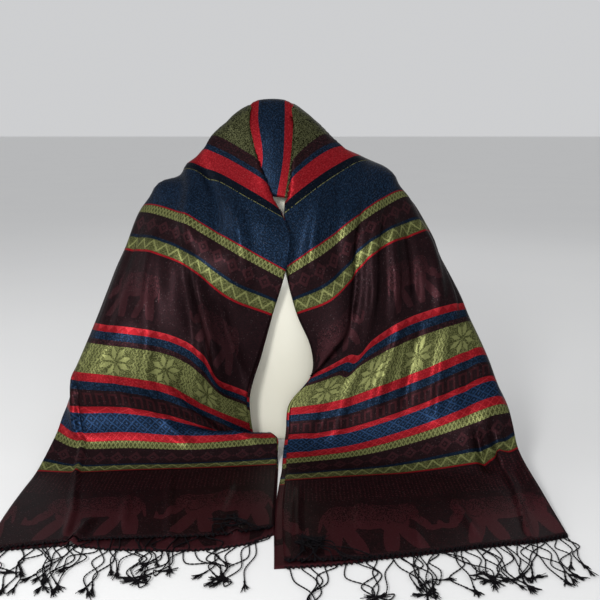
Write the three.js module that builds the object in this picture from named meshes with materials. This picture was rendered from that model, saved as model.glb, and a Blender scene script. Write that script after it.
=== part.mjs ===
// A pashmina shawl, folded in half lengthwise and draped over a limbless bust form.
// Millimetres, +Z up, +X to the viewer's right, -Y towards the viewer. The origin is the centre
// of the form's flat base, on the surface that the form, the shawl's ends and its fringes rest on.

import * as THREE from 'three';

// ---- driving dimensions -------------------------------------------------------------------

const clothWidth = 700;       // selvedge to selvedge
const foldedWidth = clothWidth / 2;
const clothLength = 1800;     // hem to hem, without the fringe
const halfLength = clothLength / 2;
const layerWall = 1.5;        // one layer of cloth; two layers make the wall
const layerStep = 0.5;        // from the top layer down to the under layer where its edge shows
const innerPeek = 7;          // how far the under layer's selvedge shows past the top one
const hemPeek = 12;           // how far the under layer's hem shows past the top one
const fringeReach = 92;       // knotted fringe, measured from the under hem
const fringeHeight = 3;       // strands lying on each other
const seamGap = 0.3;          // between neighbouring solids
const acrossSteps = 12;       // facets from the selvedges to the lengthwise fold
const formSides = 36;         // facets round the bust form

// Where one stretch of the shawl ends and the next begins, along the cloth from its centre.
const seam = { neck: 38, shoulder: 255, front: 610, hem: halfLength };

// ---- the drape ----------------------------------------------------------------------------
// Each row is a line across the folded cloth, s mm along the cloth from its centre. It starts
// at the two selvedges (inner), crosses the panel that shows, turns at the crest and ends at
// the lengthwise fold (outer). The points are [x, y, z] in mm.

const centreRows = [
  { s: -38, inner: [-5, -68, 386], near: [-20, -50, 440], mid: [-31, -22, 500],
    far: [-33.6, 6, 530], crest: [-36.6, 52, 492], outer: [-44, 87, 375] },
  { s: 0, inner: [10, -70, 384], near: [7, -53, 440], mid: [1, -28, 503],
    far: [0, 4, 532.7], crest: [0, 54, 498], outer: [0, 90, 375] },
  { s: 38, inner: [25, -68, 386], near: [34, -50, 440], mid: [32, -22, 500],
    far: [33, 6, 529], crest: [37, 52, 491], outer: [44, 87, 374] },
];

const leftRows = [
  { s: 38, inner: [-39, -24, 520], near: [-37, -9, 528], mid: [-36, 6, 530],
    far: [-36, 28, 522], crest: [-38, 52, 491], outer: [-46, 87, 375] },
  { s: 72, inner: [-27, -42, 475], near: [-46, -24, 489], mid: [-62, -8, 503],
    far: [-68, 14, 502], crest: [-75, 50, 466], outer: [-84, 88, 346] },
  { s: 106, inner: [-16, -62, 440], near: [-42, -40, 454], mid: [-70, -16, 468],
    far: [-92, 2, 475], crest: [-99, 42, 440], outer: [-112, 88, 318] },
  { s: 160, inner: [14, -89, 367], near: [-34, -74, 395], mid: [-86, -33, 419],
    far: [-136, 0, 433], crest: [-146, 38, 408], outer: [-165, 80, 285] },
  { s: 210, inner: [31, -109, 323], near: [-26, -102, 347], mid: [-84, -70, 378],
    far: [-130, -32, 397], crest: [-181, 4, 400], outer: [-200, 72, 300] },
  { s: 255, inner: [22, -116, 277], near: [-26, -114, 304], mid: [-85, -95, 334],
    far: [-148, -55, 359], crest: [-210, 0, 364], outer: [-218, 56, 318] },
  { s: 328, inner: [2, -120, 211], near: [-65, -122, 238], mid: [-123, -110, 281],
    far: [-165, -85, 295], crest: [-232, -40, 299], outer: [-236, 32, 272] },
  { s: 390, inner: [-19, -125, 147], near: [-69, -130, 171], mid: [-122, -122, 222],
    far: [-177, -105, 242], crest: [-248, -75, 245], outer: [-256, 4, 222] },
  { s: 460, inner: [-37, -130, 86], near: [-78, -135, 109], mid: [-108, -133, 152],
    far: [-152, -130, 176], crest: [-262, -115, 189], outer: [-278, -32, 168] },
  { s: 537, inner: [-34, -128, 38], near: [-94, -136, 66], mid: [-164, -145, 105],
    far: [-226, -150, 118], crest: [-293, -140, 122], outer: [-312, -72, 104] },
  { s: 587, inner: [-14, -134, 30], near: [-86, -146, 44], mid: [-164, -152, 60],
    far: [-227, -158, 72], crest: [-295, -155, 72], outer: [-318, -112, 66] },
  { s: 635, inner: [3, -152, 26], near: [-48, -162, 26], mid: [-118, -170, 24],
    far: [-210, -174, 30], crest: [-290, -176, 31], outer: [-323, -156, 38] },
  { s: 672, inner: [4, -176, 8], near: [-52, -186, 7], mid: [-120, -192, 6],
    far: [-206, -198, 8], crest: [-286, -204, 10], outer: [-329, -194, 18] },
  { s: 706, inner: [4, -196, 1.5], near: [-58, -204, 1.5], mid: [-124, -210, 1.5],
    far: [-202, -216, 1.5], crest: [-280, -224, 1.5], outer: [-334, -226, 4] },
  { s: 800, inner: [4, -291, 1.5], near: [-58, -304, 1.5], mid: [-124, -312, 1.5],
    far: [-192, -318, 1.5], crest: [-260, -324, 1.5], outer: [-335, -326, 1.5] },
  { s: 900, inner: [3, -386, 1.5], near: [-56, -406, 1.5], mid: [-134, -412, 1.5],
    far: [-194, -416, 1.5], crest: [-242, -423, 1.5], outer: [-329, -442, 1.5] },
];

const rightRows = [
  { s: 38, inner: [35, -24, 517], near: [35, -9, 527], mid: [35, 6, 529],
    far: [36, 28, 521], crest: [38, 52, 490], outer: [46, 87, 374] },
  { s: 72, inner: [31, -46, 471], near: [46, -26, 488], mid: [58, -8, 503],
    far: [64, 14, 503], crest: [72, 50, 467], outer: [82, 88, 347] },
  { s: 106, inner: [28, -62, 438], near: [46, -42, 455], mid: [66, -18, 471],
    far: [86, 2, 478], crest: [94, 42, 445], outer: [106, 88, 322] },
  { s: 160, inner: [21, -77, 378], near: [59, -60, 406], mid: [99, -30, 430],
    far: [137, 2, 444], crest: [147, 40, 419], outer: [165, 82, 295] },
  { s: 210, inner: [21, -92, 326], near: [66, -78, 360], mid: [112, -50, 394],
    far: [156, -12, 418], crest: [188, 24, 404], outer: [204, 76, 304] },
  { s: 255, inner: [22, -99, 280], near: [76, -94, 316], mid: [124, -78, 350],
    far: [170, -40, 377], crest: [212, 0, 388], outer: [224, 62, 322] },
  { s: 328, inner: [39, -110, 212], near: [90, -112, 232], mid: [123, -100, 262],
    far: [158, -76, 300], crest: [244, -20, 326], outer: [256, 55, 298] },
  { s: 390, inner: [62, -118, 159], near: [97, -120, 180], mid: [128, -112, 214],
    far: [180, -88, 252], crest: [268, -45, 277], outer: [284, 30, 255] },
  { s: 460, inner: [64, -122, 120], near: [88, -124, 133], mid: [130, -121, 158],
    far: [204, -100, 198], crest: [295, -75, 217], outer: [314, -12, 190] },
  { s: 537, inner: [30, -132, 72], near: [90, -133, 82], mid: [151, -131, 100],
    far: [243, -122, 129], crest: [321, -110, 155], outer: [340, -78, 134] },
  { s: 587, inner: [27, -148, 36], near: [90, -150, 42], mid: [151, -148, 55],
    far: [242, -145, 84], crest: [333, -140, 119], outer: [348, -118, 102] },
  { s: 635, inner: [24, -178, 10], near: [89, -172, 15], mid: [150, -167, 24],
    far: [240, -166, 50], crest: [340, -170, 90], outer: [354, -158, 82] },
  { s: 672, inner: [24, -214, 1.5], near: [96, -204, 4], mid: [166, -194, 8],
    far: [252, -190, 26], crest: [336, -196, 52], outer: [356, -190, 62] },
  { s: 706, inner: [23, -248, 1.5], near: [100, -236, 1.5], mid: [186, -226, 1.5],
    far: [268, -216, 8], crest: [332, -218, 22], outer: [357, -220, 38] },
  { s: 800, inner: [21, -350, 1.5], near: [104, -346, 1.5], mid: [196, -336, 1.5],
    far: [278, -322, 1.5], crest: [334, -314, 1.5], outer: [368, -315, 16] },
  { s: 900, inner: [26, -466, 1.5], near: [102, -462, 1.5], mid: [206, -444, 1.5],
    far: [282, -428, 1.5], crest: [330, -420, 1.5], outer: [374, -406, 1.5] },
];

// ---- the bust form ------------------------------------------------------------------------
// Half ellipses front and back, level by level, from the flat base to the top of the neck.

const formLevels = [
  { z: 0, halfWidth: 146, front: 92, back: 84 },
  { z: 5, halfWidth: 151, front: 97, back: 88 },
  { z: 70, halfWidth: 152, front: 98, back: 88 },
  { z: 150, halfWidth: 160, front: 101, back: 90 },
  { z: 220, halfWidth: 174, front: 102, back: 92 },
  { z: 280, halfWidth: 190, front: 94, back: 88 },
  { z: 320, halfWidth: 204, front: 80, back: 80 },
  { z: 345, halfWidth: 206, front: 66, back: 68 },
  { z: 362, halfWidth: 197, front: 56, back: 60 },
  { z: 377, halfWidth: 166, front: 50, back: 54 },
  { z: 390, halfWidth: 124, front: 45, back: 50 },
  { z: 404, halfWidth: 82, front: 42, back: 47 },
  { z: 422, halfWidth: 58, front: 39, back: 44 },
  { z: 452, halfWidth: 47, front: 34, back: 42 },
  { z: 490.5, halfWidth: 37, front: 24, back: 40 },
  { z: 505.5, halfWidth: 33, front: 16, back: 35 },
  { z: 516.5, halfWidth: 27, front: 8, back: 27 },
  { z: 523.5, halfWidth: 16, front: 2, back: 18 },
];
const formTop = { x: 0, y: 9, z: 528.4 };

// ---- curves -------------------------------------------------------------------------------

const columns = ['inner', 'near', 'mid', 'far', 'crest', 'outer'];

/** Points evenly spaced along one row, from the selvedges to the lengthwise fold. */
function pointsAcross(row) {
  const curve = new THREE.CatmullRomCurve3(columns.map((name) => new THREE.Vector3(...row[name])));
  curve.arcLengthDivisions = 120;
  const share = Math.min(1, foldedWidth / curve.getLength());
  return Array.from({ length: acrossSteps + 1 }, (_, i) => (
    curve.getPointAt((share * i) / acrossSteps)
  ));
}

/** One half of the shawl as a surface: point(s, column) gives the middle of the wall. */
function drapedSurface(rows) {
  const sections = rows.map(pointsAcross);
  const lines = sections[0].map((_, column) => new THREE.CatmullRomCurve3(
    sections.map((section) => section[column]),
  ));
  const lowest = layerWall;

  function point(s, column) {
    const last = rows.length - 2;
    let index = rows.findIndex((row, i) => i <= last && s <= rows[i + 1].s);
    if (index < 0) index = last;
    const share = (s - rows[index].s) / (rows[index + 1].s - rows[index].s);
    if (share > 1) {
      const edge = lines[column].getPoint(1);
      const before = lines[column].getPoint(1 - 0.2 / (last + 1));
      const onward = edge.clone().sub(before).setZ(0).normalize();
      return edge.addScaledVector(onward, s - rows[last + 1].s);
    }
    const place = lines[column].getPoint((index + share) / (last + 1));
    place.z = Math.max(place.z, lowest);
    return place;
  }

  return { point, firstRow: rows[0].s, lastRow: rows[rows.length - 1].s };
}

/** The direction out of the cloth's face at a point; side is -1 on the left half, 1 on the right. */
function outward(surface, s, column, side) {
  const step = 3;
  const low = Math.max(s - step, surface.firstRow);
  const high = Math.min(s + step, surface.lastRow);
  const along = surface.point(high, column).sub(surface.point(low, column));
  const left = Math.max(column - 1, 0);
  const right = Math.min(column + 1, acrossSteps);
  const middle = THREE.MathUtils.clamp(s, surface.firstRow, surface.lastRow);
  const across = surface.point(middle, right).sub(surface.point(middle, left));
  return across.cross(along).multiplyScalar(-side).normalize();
}

// ---- solids -------------------------------------------------------------------------------

/** The closed outline of the wall at s: the top layer, the rounded fold and the under layer. */
function wallLoop(surface, s, side, topLevel) {
  const top = [];
  const under = [];
  for (let column = 0; column <= acrossSteps; column++) {
    const middle = surface.point(s, column);
    const out = outward(surface, s, column, side);
    top.push(middle.clone().addScaledVector(out, topLevel));
    under.unshift(middle.clone().addScaledVector(out, -layerWall));
  }
  const selvedge = surface.point(s, 0);
  const inward = selvedge.clone().sub(surface.point(s, 1)).normalize();
  const down = outward(surface, s, 0, side).multiplyScalar(-1);
  const fold = surface.point(s, acrossSteps);
  const pastFold = fold.clone().sub(surface.point(s, acrossSteps - 1)).normalize();
  const loop = [
    ...top,
    fold.addScaledVector(pastFold, layerWall).addScaledVector(down, 0.5 * (layerWall - topLevel)),
    ...under,
    selvedge.clone().addScaledVector(inward, innerPeek).addScaledVector(down, layerWall),
    selvedge.clone().addScaledVector(inward, innerPeek).addScaledVector(down, layerStep),
    selvedge.clone().addScaledVector(down, layerStep),
  ];
  const nearlyFlat = 0.12;
  loop.forEach((corner) => { if (corner.z < nearlyFlat) corner.z = 0; });
  return loop;
}

/** Triangles that close one end of a wall, fanned from the step between the two layers. */
function capFaces(count) {
  const faces = [];
  const stepPoint = count - 1;
  const underOf = (column) => 2 * acrossSteps + 2 - column;
  faces.push([stepPoint, 0, 1], [stepPoint, 1, underOf(1)], [stepPoint, underOf(1), underOf(0)]);
  faces.push([stepPoint, underOf(0), count - 3], [stepPoint, count - 3, count - 2]);
  for (let column = 1; column < acrossSteps; column++) {
    faces.push([column, column + 1, underOf(column + 1)]);
    faces.push([column, underOf(column + 1), underOf(column)]);
  }
  faces.push([acrossSteps, acrossSteps + 1, acrossSteps + 2]);
  return faces;
}

/** A closed BufferGeometry from loops of equal count, joined in order and capped at both ends. */
function loftLoops(loops, endFaces) {
  const count = loops[0].length;
  const positions = loops.flatMap((loop) => loop.flatMap((corner) => corner.toArray()));
  const indices = [];
  for (let ring = 0; ring < loops.length - 1; ring++) {
    for (let i = 0; i < count; i++) {
      const next = (i + 1) % count;
      const a = ring * count + i;
      const b = ring * count + next;
      indices.push(a, a + count, b + count, a, b + count, b);
    }
  }
  const lastStart = (loops.length - 1) * count;
  endFaces.forEach(([a, b, c]) => {
    indices.push(a, b, c);
    indices.push(lastStart + a, lastStart + c, lastStart + b);
  });
  const geometry = new THREE.BufferGeometry();
  geometry.setAttribute('position', new THREE.Float32BufferAttribute(positions, 3));
  geometry.setIndex(indices);
  if (signedVolume(geometry) < 0) turnFaces(geometry);
  geometry.computeVertexNormals();
  return geometry;
}

function signedVolume(geometry) {
  const position = geometry.getAttribute('position');
  const index = geometry.getIndex();
  const corner = [new THREE.Vector3(), new THREE.Vector3(), new THREE.Vector3()];
  let volume = 0;
  for (let i = 0; i < index.count; i += 3) {
    corner.forEach((v, k) => v.fromBufferAttribute(position, index.getX(i + k)));
    volume += corner[0].dot(corner[1].cross(corner[2])) / 6;
  }
  return volume;
}

function turnFaces(geometry) {
  const index = geometry.getIndex();
  for (let i = 0; i < index.count; i += 3) {
    const second = index.getX(i + 1);
    index.setX(i + 1, index.getX(i + 2));
    index.setX(i + 2, second);
  }
}

/** One stretch of the shawl between two places along the cloth, as a two-layer wall. */
function stretchSolid(rows, side, from, to, steps) {
  const surface = drapedSurface(rows);
  const start = from + seamGap / 2;
  const atHem = to >= seam.hem;
  const end = atHem ? to : to - seamGap / 2;
  const loops = [];
  for (let i = 0; i <= steps; i++) {
    const s = start + ((end - start) * i) / steps;
    loops.push(wallLoop(surface, s, side, layerWall));
  }
  if (atHem) {
    loops.push(wallLoop(surface, to + layerStep, side, 0));
    loops.push(wallLoop(surface, to + hemPeek, side, 0));
  }
  return loftLoops(loops, capFaces(loops[0].length));
}

/** The flat strip of surface that the fringe covers, from the under hem to its tassels. */
function fringeSolid(rows) {
  const surface = drapedSurface(rows);
  const hem = halfLength + hemPeek + seamGap;
  const loops = [];
  for (let column = 0; column <= acrossSteps; column++) {
    const knots = surface.point(hem, column).setZ(0);
    const tassels = surface.point(hem + fringeReach, column).setZ(0);
    loops.push([knots, knots.clone().setZ(fringeHeight), tassels.clone().setZ(fringeHeight), tassels]);
  }
  return loftLoops(loops, [[0, 1, 2], [0, 2, 3]]);
}

/** The bust form: smooth elliptical levels on a flat base, closed over the neck. */
function formSolid() {
  const positions = [];
  formLevels.forEach((level) => {
    for (let i = 0; i < formSides; i++) {
      const angle = (2 * Math.PI * i) / formSides;
      const depth = Math.sin(angle) < 0 ? level.front : level.back;
      positions.push(level.halfWidth * Math.cos(angle), depth * Math.sin(angle), level.z);
    }
  });
  positions.push(0, 0, 0, formTop.x, formTop.y, formTop.z);
  const baseCentre = formLevels.length * formSides;
  const top = baseCentre + 1;
  const indices = [];
  for (let i = 0; i < formSides; i++) {
    const next = (i + 1) % formSides;
    for (let ring = 0; ring < formLevels.length - 1; ring++) {
      const a = ring * formSides + i;
      const b = ring * formSides + next;
      indices.push(a, b, b + formSides, a, b + formSides, a + formSides);
    }
    const lastRing = (formLevels.length - 1) * formSides;
    indices.push(baseCentre, next, i, top, lastRing + i, lastRing + next);
  }
  const geometry = new THREE.BufferGeometry();
  geometry.setAttribute('position', new THREE.Float32BufferAttribute(positions, 3));
  geometry.setIndex(indices);
  geometry.computeVertexNormals();
  return geometry;
}

// ---- the object ---------------------------------------------------------------------------

const maroonCloth = new THREE.MeshStandardMaterial({ color: 0x3a1e24, roughness: 0.55 });
const navyCloth = new THREE.MeshStandardMaterial({ color: 0x1a2c4a, roughness: 0.55 });
const stripedCloth = new THREE.MeshStandardMaterial({ color: 0x6e783c, roughness: 0.55 });
const blackThread = new THREE.MeshStandardMaterial({ color: 0x140e14, roughness: 0.7 });
const creamGloss = new THREE.MeshStandardMaterial({ color: 0xe1e1d2, roughness: 0.25 });

const group = new THREE.Group();

function add(name, geometry, material) {
  const mesh = new THREE.Mesh(geometry, material);
  mesh.name = name;
  group.add(mesh);
}

add('bust_form', formSolid(), creamGloss);
add('shawl_neck', stretchSolid(centreRows, 1, -seam.neck, seam.neck, 6), navyCloth);

const halves = [
  { name: 'left', rows: leftRows, side: -1 },
  { name: 'right', rows: rightRows, side: 1 },
];
halves.forEach(({ name, rows, side }) => {
  const { neck, shoulder, front, hem } = seam;
  add(`shawl_shoulder_${name}`, stretchSolid(rows, side, neck, shoulder, 12), navyCloth);
  add(`shawl_front_${name}`, stretchSolid(rows, side, shoulder, front, 16), maroonCloth);
  add(`shawl_end_${name}`, stretchSolid(rows, side, front, hem, 14), stripedCloth);
  add(`fringe_${name}`, fringeSolid(rows), blackThread);
});

export default group;
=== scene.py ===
"""A pashmina shawl draped over a limbless bust form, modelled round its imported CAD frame."""

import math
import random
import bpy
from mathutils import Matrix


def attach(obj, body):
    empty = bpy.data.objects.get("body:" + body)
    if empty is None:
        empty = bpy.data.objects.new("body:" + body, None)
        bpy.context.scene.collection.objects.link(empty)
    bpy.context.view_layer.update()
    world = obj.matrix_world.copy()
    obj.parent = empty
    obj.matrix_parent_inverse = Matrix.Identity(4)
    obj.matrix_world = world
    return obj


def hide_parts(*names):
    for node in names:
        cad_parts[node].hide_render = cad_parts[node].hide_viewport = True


bl_info = {
    "name": "Draped Pashmina Shawl",
    "version": (1, 0, 0),
    "blender": (4, 5, 0),
    "location": "3D View > Sidebar > Shawl",
    "description": "Builds a folded, fringed jacquard shawl on a bust form, with its stage",
    "category": "Object",
}

from collections import namedtuple

import bmesh
import bpy
import numpy as np
from mathutils import Vector

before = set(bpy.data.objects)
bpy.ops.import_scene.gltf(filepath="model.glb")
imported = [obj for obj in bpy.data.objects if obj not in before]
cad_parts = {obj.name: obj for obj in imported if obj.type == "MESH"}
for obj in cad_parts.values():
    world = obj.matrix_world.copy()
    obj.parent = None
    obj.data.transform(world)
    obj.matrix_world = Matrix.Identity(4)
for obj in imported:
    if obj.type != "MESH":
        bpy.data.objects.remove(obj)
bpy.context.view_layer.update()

MM = 0.001
SECTION_POINTS = 71      # across the folded cloth, in each row of the drape

# ---- the cloth's own sizes, in millimetres ----

CLOTH_WIDTH = 700
CLOTH_LENGTH = 1800
FOLDED = CLOTH_WIDTH / 2
HALF = CLOTH_LENGTH / 2
BODY = "root"

# How far the under layer shows past the top one: at the selvedges, by the place along the
# cloth, and at each hem, by the place across it.
INNER_PEEK = ((-900, 2), (-640, 2), (-560, 3), (-480, 5), (-380, 4), (-320, 0.5), (300, 0.5),
              (480, 3), (620, 6), (700, 8), (900, 12))
HEM_PEEK = {
    -1: ((0, 18), (30, 30), (120, 32), (200, 24), (250, 8), (350, 2)),
    1: ((0, 14), (60, 10), (110, 3), (350, 1)),
}

# The lowest the middle of each layer lies, so that the cloth rests on the floor.
TOP_LOWEST = 2.4
UNDER_LOWEST = 0.5

STRETCHES = (
    "shawl_neck",
    "shawl_shoulder_left", "shawl_front_left", "shawl_end_left",
    "shawl_shoulder_right", "shawl_front_right", "shawl_end_right",
)

# ---- the fringe's sizes, in millimetres ----

STRANDS_PER_HEM = 27
STRAND_STEP = 1.6        # between points along a strand
PLY_RADIUS = 0.5
TWIST_PITCH = 6.0
HEM_HEIGHTS = ((False, 3.8), (True, 2.0))       # under layer or not, and its hem's height
LYING_HEIGHT = 1.4
BRUSH_FIBRES = 18
BRUSH_LENGTH = (11, 19)

# Thicknesses as shares of a ply's: the knot at the hem, the one before the brush, a loose fibre
# and the lacing thread.
ROOT_KNOT = 2.3
END_KNOT = 2.6
FIBRE = 0.9
LACE = 1.5

# The lacing thread: the step between its points, the length of one loop, how far it swings
# across the hem, how far in its middle line lies, and how far it rises and falls.
LACE_STEP = 1.1
LACE_PITCH = 6.1
LACE_SWING = 2.4
LACE_INSET = 0.8
LACE_RISE = 0.9

# How far a strand's bends swing aside, and the share of strands that hook at the end.
SWING = (2, 15)
HOOKED = 0.3

# Neighbouring strands drift aside and reach out together, then spread from each other.
DRIFT_ASIDE = 24
DRIFT_OUT = (54, 82)
SPREAD = (13, 9)

# Strands that were thrown back over the cloth, for each end: the share of the inner hem they
# come from, and where their ends lie. They spread by so much across, along and up.
THROWN_BACK = {-1: (0.2, (-38, -388, 6)), 1: (0.32, (62, -440, 6))}
THROWN_SPREAD = ((-17, 17), (-9, 12), (0, 6))

# ---- the drape ----
# Each row is a line across the folded cloth, s mm along it from its centre: from the two
# selvedges (inner), over the panel that shows, round the crest, to the lengthwise fold (outer).

Row = namedtuple("Row", "s inner near mid far crest outer")

CENTRE_ROWS = (
    Row(-38, (-38, -58, 392), (-24, -49, 440), (-36, -21, 500), (-35, 6, 530), (-38, 52, 492),
        (-45, 87, 375)),
    Row(0, (-9, -66, 388), (2, -53, 440), (0, -28, 503), (0, 4, 532.7), (0, 54, 498),
        (0, 90, 375)),
    Row(38, (20, -70, 384), (28, -51, 440), (33, -22, 500), (33, 6, 530), (37, 52, 492),
        (44, 87, 375)),
)

LEFT_ROWS = (
    Row(38, (-39, -24, 520), (-37, -9, 528), (-36, 6, 530), (-36, 28, 522), (-38, 52, 491),
        (-46, 87, 375)),
    Row(72, (-27, -42, 475), (-46, -24, 489), (-62, -8, 503), (-68, 14, 502), (-75, 50, 466),
        (-84, 88, 346)),
    Row(106, (-16, -62, 440), (-42, -40, 454), (-70, -16, 468), (-92, 2, 475), (-99, 42, 440),
        (-112, 88, 318)),
    Row(133, (-1, -76, 404), (-38, -57, 425), (-78, -25, 444), (-112, 1, 453), (-121, 40, 423),
        (-139, 84, 302)),
    Row(160, (14, -89, 367), (-34, -74, 395), (-86, -33, 419), (-136, 0, 433), (-146, 38, 408),
        (-165, 80, 285)),
    Row(210, (31, -109, 323), (-26, -102, 347), (-84, -70, 378), (-130, -32, 397),
        (-181, 4, 400), (-200, 72, 300)),
    Row(255, (22, -116, 277), (-26, -114, 304), (-85, -95, 334), (-148, -55, 359),
        (-210, 0, 364), (-218, 56, 318)),
    Row(328, (2, -120, 211), (-65, -122, 238), (-123, -110, 281), (-165, -85, 295),
        (-232, -40, 299), (-236, 32, 272)),
    Row(390, (-19, -125, 147), (-69, -130, 171), (-122, -122, 222), (-177, -105, 242),
        (-248, -75, 245), (-256, 4, 222)),
    Row(460, (-37, -130, 86), (-78, -135, 109), (-108, -133, 152), (-152, -130, 176),
        (-262, -115, 189), (-278, -32, 168)),
    Row(537, (-34, -128, 38), (-94, -136, 66), (-164, -145, 105), (-226, -150, 118),
        (-293, -140, 122), (-312, -72, 104)),
    Row(560, (-26, -120, 8), (-90, -138, 48), (-164, -149, 82), (-227, -154, 96),
        (-294, -148, 98), (-315, -91, 86)),
    Row(587, (-12, -124, 10), (-82, -139, 30), (-164, -152, 60), (-227, -158, 72),
        (-295, -155, 72), (-318, -112, 66)),
    Row(610, (-4, -136, 28), (-67, -153, 36), (-142, -161, 42), (-219, -166, 51),
        (-293, -166, 51), (-321, -134, 52)),
    Row(635, (8, -152, 26), (-48, -162, 26), (-118, -170, 24), (-210, -174, 30),
        (-290, -176, 31), (-323, -156, 38)),
    Row(672, (9, -176, 8), (-52, -186, 7), (-120, -192, 6), (-206, -198, 8), (-286, -204, 10),
        (-329, -194, 18)),
    Row(706, (10, -196, 1.5), (-58, -204, 1.5), (-124, -210, 1.5), (-202, -216, 1.5),
        (-280, -224, 1.5), (-334, -226, 4)),
    Row(800, (10.5, -291, 1.5), (-58, -304, 1.5), (-124, -312, 1.5), (-192, -318, 1.5),
        (-260, -324, 1.5), (-335, -326, 1.5)),
    Row(900, (10.5, -386, 1.5), (-56, -406, 1.5), (-134, -412, 1.5), (-194, -416, 1.5),
        (-242, -423, 1.5), (-329, -442, 1.5)),
)

RIGHT_ROWS = (
    Row(38, (35, -24, 517), (35, -9, 527), (35, 6, 529), (36, 28, 521), (38, 52, 490),
        (46, 87, 374)),
    Row(72, (31, -46, 471), (46, -26, 488), (58, -8, 503), (64, 14, 503), (72, 50, 467),
        (82, 88, 347)),
    Row(106, (28, -62, 438), (46, -42, 455), (66, -18, 471), (86, 2, 478), (94, 42, 445),
        (106, 88, 322)),
    Row(160, (21, -77, 378), (59, -60, 406), (99, -30, 430), (137, 2, 444), (147, 40, 419),
        (165, 82, 295)),
    Row(210, (21, -92, 326), (66, -78, 360), (112, -50, 394), (156, -12, 418), (188, 24, 404),
        (204, 76, 304)),
    Row(255, (22, -99, 280), (76, -94, 316), (124, -78, 350), (170, -40, 377), (212, 0, 388),
        (224, 62, 322)),
    Row(328, (39, -110, 212), (90, -112, 232), (123, -100, 262), (158, -76, 300),
        (244, -20, 326), (256, 55, 298)),
    Row(390, (62, -118, 159), (97, -120, 180), (128, -112, 214), (180, -88, 252),
        (268, -45, 277), (284, 30, 255)),
    Row(460, (64, -122, 120), (88, -124, 133), (130, -121, 158), (204, -100, 198),
        (295, -75, 217), (314, -12, 190)),
    Row(537, (30, -132, 72), (90, -133, 82), (151, -131, 100), (243, -122, 129),
        (321, -110, 155), (340, -78, 134)),
    Row(587, (27, -148, 36), (90, -150, 42), (151, -148, 55), (242, -145, 84),
        (333, -140, 119), (348, -118, 102)),
    Row(635, (24, -178, 10), (89, -172, 15), (150, -167, 24), (240, -166, 50), (340, -170, 90),
        (354, -158, 82)),
    Row(672, (24, -214, 1.5), (96, -204, 4), (166, -194, 8), (252, -190, 26), (336, -196, 52),
        (356, -190, 62)),
    Row(706, (23, -248, 1.5), (100, -236, 1.5), (186, -226, 1.5), (268, -216, 8),
        (332, -218, 22), (357, -220, 38)),
    Row(800, (21, -350, 1.5), (104, -346, 1.5), (196, -336, 1.5), (278, -322, 1.5),
        (334, -314, 1.5), (368, -315, 16)),
    Row(900, (26, -466, 1.5), (102, -462, 1.5), (206, -444, 1.5), (282, -428, 1.5),
        (330, -420, 1.5), (374, -406, 1.5)),
)

# The pleat at the front of the neck: how far along the cloth its hidden part reaches, at the
# selvedges, and where across the cloth it runs out, on top of the neck.
PLEAT_START = 38
PLEAT_END = 160
PLEAT_TOP = 170

# The cloth tucked in there: how far ahead its direction is read, how much hidden cloth gives the
# tuck its full depth, how far in it reaches, as a share of the hidden cloth and at most, where its
# bends lie along it, and how far back the four inner ones lie.
TUCK_AHEAD = 12
TUCK_FULL = 25
TUCK_SHARE = 0.38
TUCK_MOST = 42
TUCK_PLACES = (0, 0.2, 0.5, 0.8, 0.95, 1)
TUCK_BACK = (1.5, 9, 6.5, 5)

# The drape is smoothed so many times, by so much, before the soft folds are laid on it.
RELAX_TIMES = 2
RELAX_WEIGHT = 0.6

# Points along the curve of one row before it is evenly divided, and the share of a soft fold's
# length over which it fades out at each end.
FINE_POINTS = 241
FOLD_TAPER = 0.3

# Soft folds, s and t mm along and across the cloth: from one end of the line to the other,
# how wide the fold is and how far it stands out (ridge) or dips in (trough).
Fold = namedtuple("Fold", "s0 t0 s1 t1 width depth")

LEFT_FOLDS = (
    Fold(24, 190, 34, 380, 10, 5), Fold(98, 250, 84, 380, 9, 6), Fold(150, 262, 128, 380, 8, 5),
    Fold(60, 215, 150, 150, 6, 4), Fold(60, 288, 130, 262, 8, 3), Fold(66, 250, 130, 200, 5, -3),
    Fold(176, 206, 320, 152, 15, 10), Fold(166, 262, 240, 268, 20, 3),
    Fold(130, 172, 300, 104, 14, -9), Fold(170, 110, 340, 42, 14, 7),
    Fold(262, 188, 470, 98, 17, -9), Fold(270, 236, 470, 186, 14, 7),
    Fold(250, 272, 500, 246, 11, -5), Fold(300, 304, 520, 290, 10, 4),
    Fold(310, 150, 490, 22, 13, 15), Fold(325, 98, 455, -6, 10, -9), Fold(360, 128, 560, 72, 10, 5),
    Fold(430, 190, 600, 160, 10, 5), Fold(470, 230, 600, 214, 9, -4),
    Fold(560, 180, 650, 130, 9, 3.5), Fold(590, 70, 660, 20, 8, 3), Fold(500, 150, 600, 60, 9, -6),
    Fold(530, 288, 640, 301, 3, -7), Fold(520, 295, 640, 310, 6, 5),
    Fold(600, 302, 730, 292, 3.2, 7), Fold(690, 297, 830, 263, 3.2, 5),
    Fold(700, 285, 830, 253, 3.4, -6), Fold(790, 268, 912, 256, 3.2, 5),
    Fold(838, 232, 940, 253, 5.5, 8), Fold(700, 158, 840, 138, 4.5, 4),
    Fold(800, 142, 915, 128, 4.5, 3.5), Fold(740, 60, 870, 78, 6, 3.5),
    Fold(760, 205, 880, 190, 5, 3), Fold(860, 60, 925, 40, 6, 5),
)
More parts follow.
